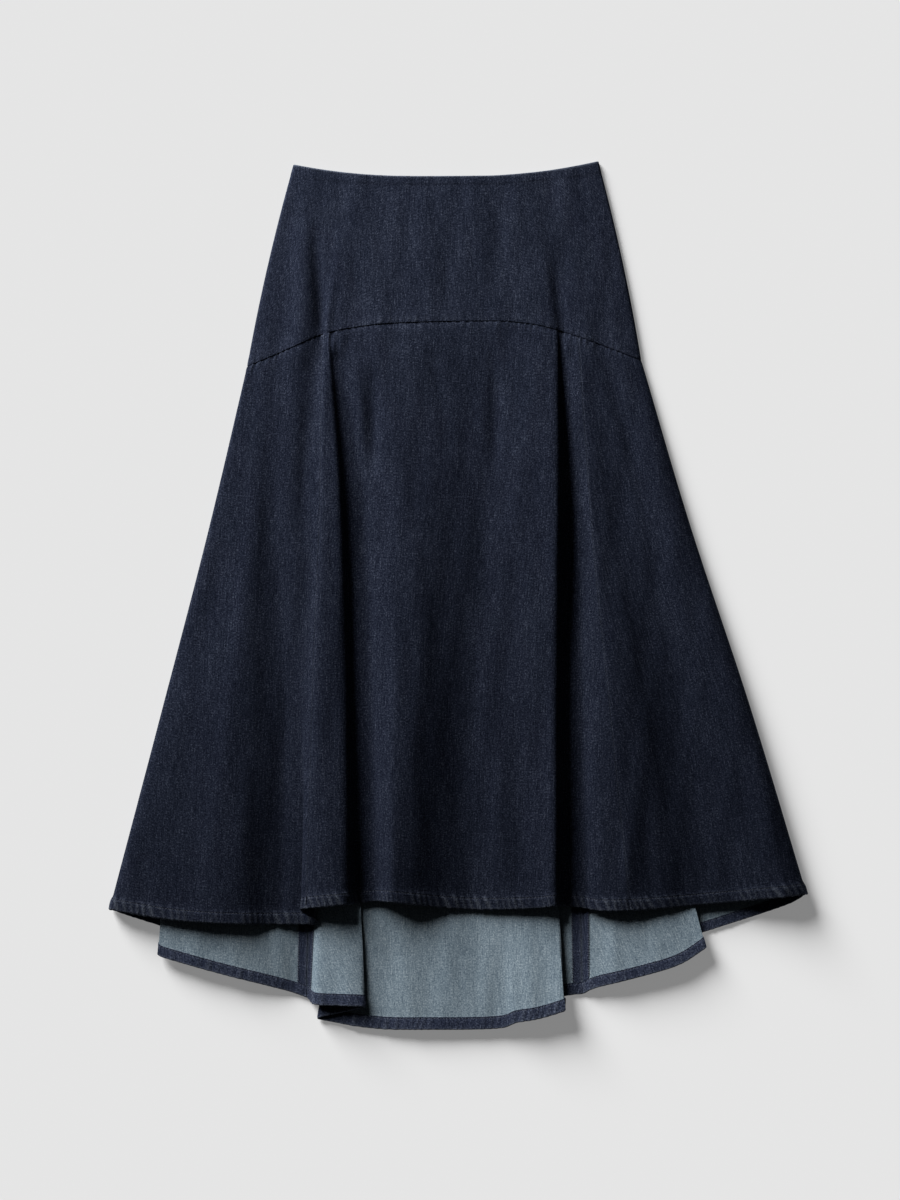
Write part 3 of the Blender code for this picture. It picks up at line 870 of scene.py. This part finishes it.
def cloth_piece(node, cut):
    """One shell of cloth for a CAD node, and the grid that its sewing is placed by.

    The surface is the rounded ribs, plus soft relief upwards, plus ropes and puckers
    outwards, less the dips at its seams. The wall's profile is then carried along it.
    """
    look = cut.look
    rows, fold = hem_rows(cut.length, cut.turn)
    distance, depth = shell_profile(rows, fold, cut.turn, look.groove)
    levels, row_of = np.unique(1 - distance / cut.length, return_inverse=True)
    spread = cut.corners_at(SPREAD_LEVELS)
    places = even_places(spread, cut.soft, cut.first, cut.last, COLUMN_STEP)
    points = eased(across(cut.corners_at(levels), cut.soft, places), look.passes)
    over = runs_along(points, 1)
    down = runs_along(points, 0)
    up = cut.length * (1 - levels)[:, None]
    from_first, from_last = over, over[:, -1:] - over
    points[..., 2] += soft_relief(cut, points, from_first, from_last)
    points[..., 2] = np.maximum(points[..., 2], 0)

    # The roped hem, and the puckers that draw in along the seams
    band = 1 / (1 + np.exp((up - cut.turn - ROPE_OVERSHOOT) / ROPE_FADE))
    ropes = roping(over + look.rope_start, up, ROPE_SPACING, look.rope_slant)
    ropes = ropes * band * look.rope
    pucker = roping(over + PUCKER_START, down, PUCKER_SPACING, PUCKER_SLANT)
    pucker = pucker * bell(down, YOKE_PUCKERS) * look.pucker
    outward = directions(points, cut.facing)
    points[..., 1] -= ropes * bell(up, ROPE_DRAW)
    y = points[..., 1]
    lift = ropes + pucker
    lift = lift + side_puckers(look.puckers_first, y, down, from_first)
    lift = lift + side_puckers(look.puckers_last, y, down, from_last)
    dip = (1 - look.side_first) * bell(from_first, SEAM_DIP)
    dip = dip + look.yoke_step * bell(down, YOKE_STEP)
    if cut.front:
        points = points + outward * (lift - dip)[..., None]
    else:
        points = points - outward * (lift + dip * BACK_DIP_SHARE)[..., None]
    outward = directions(points, cut.facing)[row_of]

    loop = points[row_of] - outward * depth[:, None, None]
    loop[..., 2] = np.maximum(loop[..., 2], 0)
    middle = over.shape[1] // 2
    u = (over - over[:, middle : middle + 1])[row_of]
    v = (y[0] - down)[row_of]

    # Rubbed places: the folded edge, the crowns of the ropes and puckers, and both seams
    edge_wear = bell(distance, EDGE_WEAR)[:, None]
    seam_wear = look.wear_first * bell(from_first, SEAM_WEAR)
    seam_wear = seam_wear + look.wear_last * bell(from_last, SEAM_WEAR)
    pucker_wear = PUCKER_WEAR * (pucker / look.pucker) ** WEAR_SHARPNESS
    rope_wear = ROPE_WEAR * ropes**WEAR_SHARPNESS
    wear = edge_wear + (rope_wear + seam_wear + pucker_wear)[row_of]

    # The reverse shows on the inner half of the wall, above the turned cloth
    inside = np.arange(len(distance)) >= len(distance) // 2
    reverse = inside & (distance > cut.turn)
    reverse_rows = reverse & np.roll(reverse, -1)
    piece = shell_mesh(node + "_cloth", loop, u, v, wear, reverse_rows, cut.facing)
    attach(piece, "root")
    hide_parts(node)
    return piece, Grid(loop, distance, outward)


grids = {}
pieces = {}
front_soft = softness(FRONT_RIBS)
back_soft = softness(BACK_RIBS)
front_edges = (0.0,) + seam_places(FRONT_RIBS, FRONT_SEAMS) + (len(FRONT_RIBS) - 1.0,)
back_edges = (0.0,) + seam_places(BACK_RIBS, BACK_SEAMS) + (len(BACK_RIBS) - 1.0,)

for k, part in enumerate(PARTS):
    front = Cut(
        front_lines, front_soft, front_edges[k], front_edges[k + 1],
        FRONT_LENGTH, HEM_DEPTH, 1, FRONT_LOOKS[k], True,
    )
    back = Cut(
        back_lines, back_soft, back_edges[k], back_edges[k + 1],
        BACK_LENGTH, HEM_DEPTH, -1, BACK_LOOKS[k], False,
    )
    for node, panel in (("front_" + part, front), ("back_" + part, back)):
        pieces[node], grids[node] = cloth_piece(node, panel)

for node, lines, soft, facing in (
    ("yoke_front", front_lines, front_soft, -1),
    ("yoke_back", back_lines, back_soft, 1),
):
    corners_at = partial(yoke_lines, lines(np.array([0.0]))[0])
    yoke = Cut(
        corners_at, soft, 0.0, len(soft) - 1.0,
        YOKE_LENGTH, WAIST_TURN, facing, YOKE_LOOK, node == "yoke_front",
    )
    pieces[node], grids[node] = cloth_piece(node, yoke)

# Each piece's cut size: its laid outer face, and what is cut beyond it
for node, piece in pieces.items():
    loop = grids[node].loop
    outer = loop[: len(loop) // 2]
    steps_over = np.linalg.norm(np.diff(outer, axis=1), axis=-1)
    steps_down = np.linalg.norm(np.diff(outer, axis=0), axis=-1)
    width = steps_over.sum(axis=1).max() * MM + WIDTH_ALLOWANCE
    length = runs_along(outer, 0)[-1].max() * MM + LENGTH_ALLOWANCE
    area = (steps_over[:-1] * steps_down[:, :-1]).sum() * MM * MM
    area = area + WIDTH_ALLOWANCE * length + LENGTH_ALLOWANCE * width
    on = ["back_center"] if node.startswith("front") else ["pale_floor"]
    on = ["yoke_back"] if node == "yoke_front" else on

# Threads: every stitch is the same small form, turned to lie along its seam

def stitch_form(rings, sides):
    """A stitch 1 long and 1 thick: rings of a bulged profile whose ends dip down.

    The thickness falls from the middle with the fourth power of the way to the end, and
    the middle line sinks with its cube.
    """
    along = np.linspace(-0.5, 0.5, rings)
    swell = np.sqrt(np.maximum(1 - (2 * along) ** 4, STITCH_END))
    sink = STITCH_DIP * np.repeat(np.abs(2 * along) ** 3, sides)
    turn = 2 * np.pi * np.arange(sides) / sides
    x = np.repeat(along, sides)
    y = np.outer(swell, np.cos(turn)).ravel() / 2
    z = np.outer(swell, np.sin(turn)).ravel() / 2 - sink
    i = np.arange(rings - 1)[:, None] * sides
    j = np.arange(sides)[None, :]
    k = (j + 1) % sides
    quads = np.stack([i + j, i + k, i + sides + k, i + sides + j], axis=-1).reshape(-1, 4)
    start = np.array([[0, s + 1, s] for s in range(1, sides - 1)])
    end = (rings - 1) * sides + start[:, [0, 2, 1]]
    return np.stack([x, y, z], axis=-1), quads, np.concatenate([start, end])


def along_path(path, up, pitch, first=0.0):
    """Places a pitch apart along a path, each with its direction and the way up."""
    run = np.concatenate([[0], np.cumsum(np.linalg.norm(np.diff(path, axis=0), axis=1))])
    at = np.arange(first + pitch, run[-1] - pitch / 2, pitch)
    place = np.stack([np.interp(at, run, path[:, k]) for k in range(3)], axis=-1)
    ahead = np.stack([np.interp(at + pitch / 3, run, path[:, k]) for k in range(3)], axis=-1)
    rise = np.stack([np.interp(at, run, up[:, k]) for k in range(3)], axis=-1)
    way = ahead - place
    way = way / np.linalg.norm(way, axis=-1, keepdims=True)
    rise = rise - way * (rise * way).sum(axis=-1, keepdims=True)
    rise = rise / np.linalg.norm(rise, axis=-1, keepdims=True)
    return place, way, rise


# Stitches of one seam: their places, their directions along and up, and their sizes
Run = namedtuple("Run", "place way rise stitch")


def thread_mesh(name, runs, form, material):
    """All stitches of one thread: the form scaled by each stitch's length and thickness.

    Lengths vary a little with a sine of the stitch's number, and slants change sides.
    """
    shape, quads, tris = form
    points, count = [], 0
    for place, way, rise, stitch in runs:
        number = np.arange(len(place))
        place = place + rise * stitch.raised
        side = np.cross(rise, way)
        uneven = 1 + STITCH_UNEVEN * np.sin(1.7 * number + 0.5)
        tilt = stitch.slant * np.where(number % 2, 1, -1)[:, None]
        way = way * np.cos(tilt) + side * np.sin(tilt)
        side = np.cross(rise, way)
        long = (stitch.length * uneven)[:, None, None]
        made = (
            place[:, None]
            + way[:, None] * shape[None, :, :1] * long
            + side[:, None] * shape[None, :, 1:2] * stitch.thick
            + rise[:, None] * shape[None, :, 2:] * stitch.thick
        )
        points.append(made.reshape(-1, 3))
        count += len(place)
    points = np.concatenate(points)
    steps = (np.arange(count) * len(shape))[:, None, None]
    faces = (quads[None] + steps).reshape(-1, 4)
    ends = (tris[None] + steps).reshape(-1, 3)
    mesh = bpy.data.meshes.new(name)
    mesh.from_pydata((points * MM).tolist(), [], faces.tolist() + ends.tolist())
    mesh.polygons.foreach_set("use_smooth", np.ones(len(mesh.polygons), bool))
    mesh.materials.append(material)
    piece = placed(name, mesh)
    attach(piece, "root")
    return piece


hem_form = stitch_form(5, 5)
sewn = {}
for side in ("front", "back"):
    stitch_runs = []
    for part in PARTS:
        loop, distance, outward = grids[f"{side}_{part}"]
        half = len(loop) // 2
        for facing, start, end in ((1, 0, half), (-1, half, len(loop))):
            row = start + int(np.argmin(np.abs(distance[start:end] - STITCH_HEIGHT)))
            up = outward[row] * facing
            place, way, rise = along_path(loop[row], up, HEM_STITCH.pitch, HEM_STITCH.start)
            stitch_runs.append(Run(place, way, rise, HEM_STITCH))
    sewn[side] = thread_mesh(f"hem_stitching_{side}", stitch_runs, hem_form, navy_thread)

# Pressed-open seam allowances on the inside of the back, with overlocked edges

def beside_seam(points, place_run, run, offsets):
    """Points at set distances across the cloth from a seam, row by row."""
    rows = [
        [np.interp(at + offsets, along, row[:, k]) for k in range(3)]
        for at, along, row in zip(place_run, run, points)
    ]
    return np.moveaxis(np.array(rows), 1, -1)


overlock = stitch_form(4, 5)
for part, place in zip(("left", "right"), seam_places(BACK_RIBS, BACK_SEAMS)):
    bottom = BACK_LENGTH - HEM_DEPTH - FLAP_END_GAP
    levels = np.arange(FLAP_TOP, bottom, FLAP_ROW_STEP) / BACK_LENGTH
    fine = np.linspace(*(place + FLAP_REACH), FLAP_PLACES)
    points = across(back_lines(levels), back_soft, fine)
    run = runs_along(points, 1)
    place_run = [np.interp(place, fine, row) for row in run]
    loop_runs = []
    for way, name in ((-1, "near"), (1, "far")):
        offsets = (way * FLAP_COLUMNS)[::way]
        strip = beside_seam(points, place_run, run, offsets)
        inward = -directions(strip, -1)
        down = runs_along(strip, 0)[:, :1]
        lift = WALL + FLAP_WALL + bell(np.abs(offsets), FLAP_ROLL)
        lift = lift + FLAP_WAVE * np.sin(down / 6.3) * np.sin(down / 2.9 + 1.0)
        raised = strip + inward * lift[..., None]
        lower = strip + inward * (WALL + FLAP_GAP)
        ring = np.concatenate([raised, lower[::-1]])
        u = np.broadcast_to(offsets, raised.shape[:2])
        u = np.concatenate([u, u[::-1]])
        v = np.concatenate([-down, -down[::-1]]) * np.ones(ring.shape[:2])
        wear = bell(np.abs(u), FLAP_WEAR)
        no_reverse = np.zeros(len(ring), bool)
        piece = shell_mesh(f"seam_allowance_{part}_{name}", ring, u, v, wear, no_reverse, 1)
        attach(piece, "root")
        length = float(levels[-1] - levels[0]) * BACK_LENGTH * MM
        pieces[piece.name] = piece

        # Loops across the free edge, and a thread along it
        edge = raised[:, -1 if way > 0 else 0]
        inner = raised[:, -3 if way > 0 else 2]
        inset = edge * (1 - OVERLOCK_INSET) + inner * OVERLOCK_INSET
        up = inward[:, len(offsets) // 2]
        for path, stitch in ((inset, OVERLOCK_ACROSS), (edge, OVERLOCK_EDGE)):
            at, along, rise = along_path(path, up, stitch.pitch, stitch.start)
            along = np.cross(rise, along) if stitch is OVERLOCK_ACROSS else along
            loop_runs.append(Run(at, along, rise, stitch))
    sewn["overlock_" + part] = thread_mesh("overlock_" + part, loop_runs, overlock, navy_thread)

# Floor, light and camera
floor_mesh = bpy.data.meshes.new("pale_floor")
floor_corners = [(-1, -1), (1, -1), (1, 1), (-1, 1)]
floor_points = [(x * FLOOR_REACH, y * FLOOR_REACH, -FLOOR_DROP) for x, y in floor_corners]
floor_mesh.from_pydata(floor_points, [], [(0, 1, 2, 3)])
floor = placed("pale_floor", floor_mesh)
floor_mesh.materials.append(floor_material())

# The key is a soft disc above the waist's left corner, low enough to rake the folds. It
# lights the front alone. From the same side one soft sun lights the back's pale inside,
# and another lights the floor and casts its shadows.
front_lit = bpy.data.collections.new("front_lit")
inside_lit = bpy.data.collections.new("inside_lit")
floor_lit = bpy.data.collections.new("floor_lit")
floor_lit.objects.link(floor)
for name, piece in list(pieces.items()) + list(sewn.items()):
    (front_lit if "front" in name else inside_lit).objects.link(piece)

key_light = bpy.data.lights.new("key", "AREA")
key_light.energy = KEY_POWER
key_light.shape = "DISK"
key_light.size = KEY_SIZE
key = placed("key", key_light)
key.location = KEY_PLACE
key_way = Vector(KEY_PLACE) - Vector(KEY_AIM)
key.rotation_euler = key_way.to_track_quat("Z", "Y").to_euler()
key.visible_camera = False
key.light_linking.receiver_collection = front_lit

for kind, lit in ((FLOOR_SUN, floor_lit), (INSIDE_SUN, inside_lit)):
    height = math.radians(kind.height)
    sun_light = bpy.data.lights.new(kind.name, "SUN")
    sun_light.energy = kind.energy
    sun_light.angle = math.radians(kind.spread)
    sun = placed(kind.name, sun_light)
    level = math.cos(height)
    toward = Vector((SUN_ACROSS * level, SUN_DOWN * level, math.sin(height)))
    sun.rotation_euler = toward.to_track_quat("Z", "Y").to_euler()
    sun.light_linking.receiver_collection = lit

# The camera sees a plain pale background, while the scene is filled by a much darker one
world = bpy.data.worlds.new("studio")
world.use_nodes = True
nodes, links = world.node_tree.nodes, world.node_tree.links
seen = nodes["Background"]
seen.inputs["Color"].default_value = BACKGROUND_SEEN
fill = nodes.new("ShaderNodeBackground")
fill.inputs["Color"].default_value = FILL_COLOUR
fill.inputs["Strength"].default_value = FILL_STRENGTH
path = nodes.new("ShaderNodeLightPath")
both = nodes.new("ShaderNodeMixShader")
links.new(path.outputs["Is Camera Ray"], both.inputs[0])
links.new(fill.outputs[0], both.inputs[1])
links.new(seen.outputs[0], both.inputs[2])
links.new(both.outputs[0], nodes["World Output"].inputs[0])
bpy.context.scene.world = world
bpy.context.scene.view_settings.view_transform = "Standard"

camera_data = bpy.data.cameras.new("camera")
camera_data.lens = SENSOR * CAMERA_HEIGHT / FRAME_HEIGHT
camera_data.sensor_width = SENSOR
camera_data.clip_end = CAMERA_REACH
camera = placed("camera", camera_data)
camera.location = (CAMERA_X, CAMERA_Y, CAMERA_HEIGHT)
bpy.context.scene.camera = camera
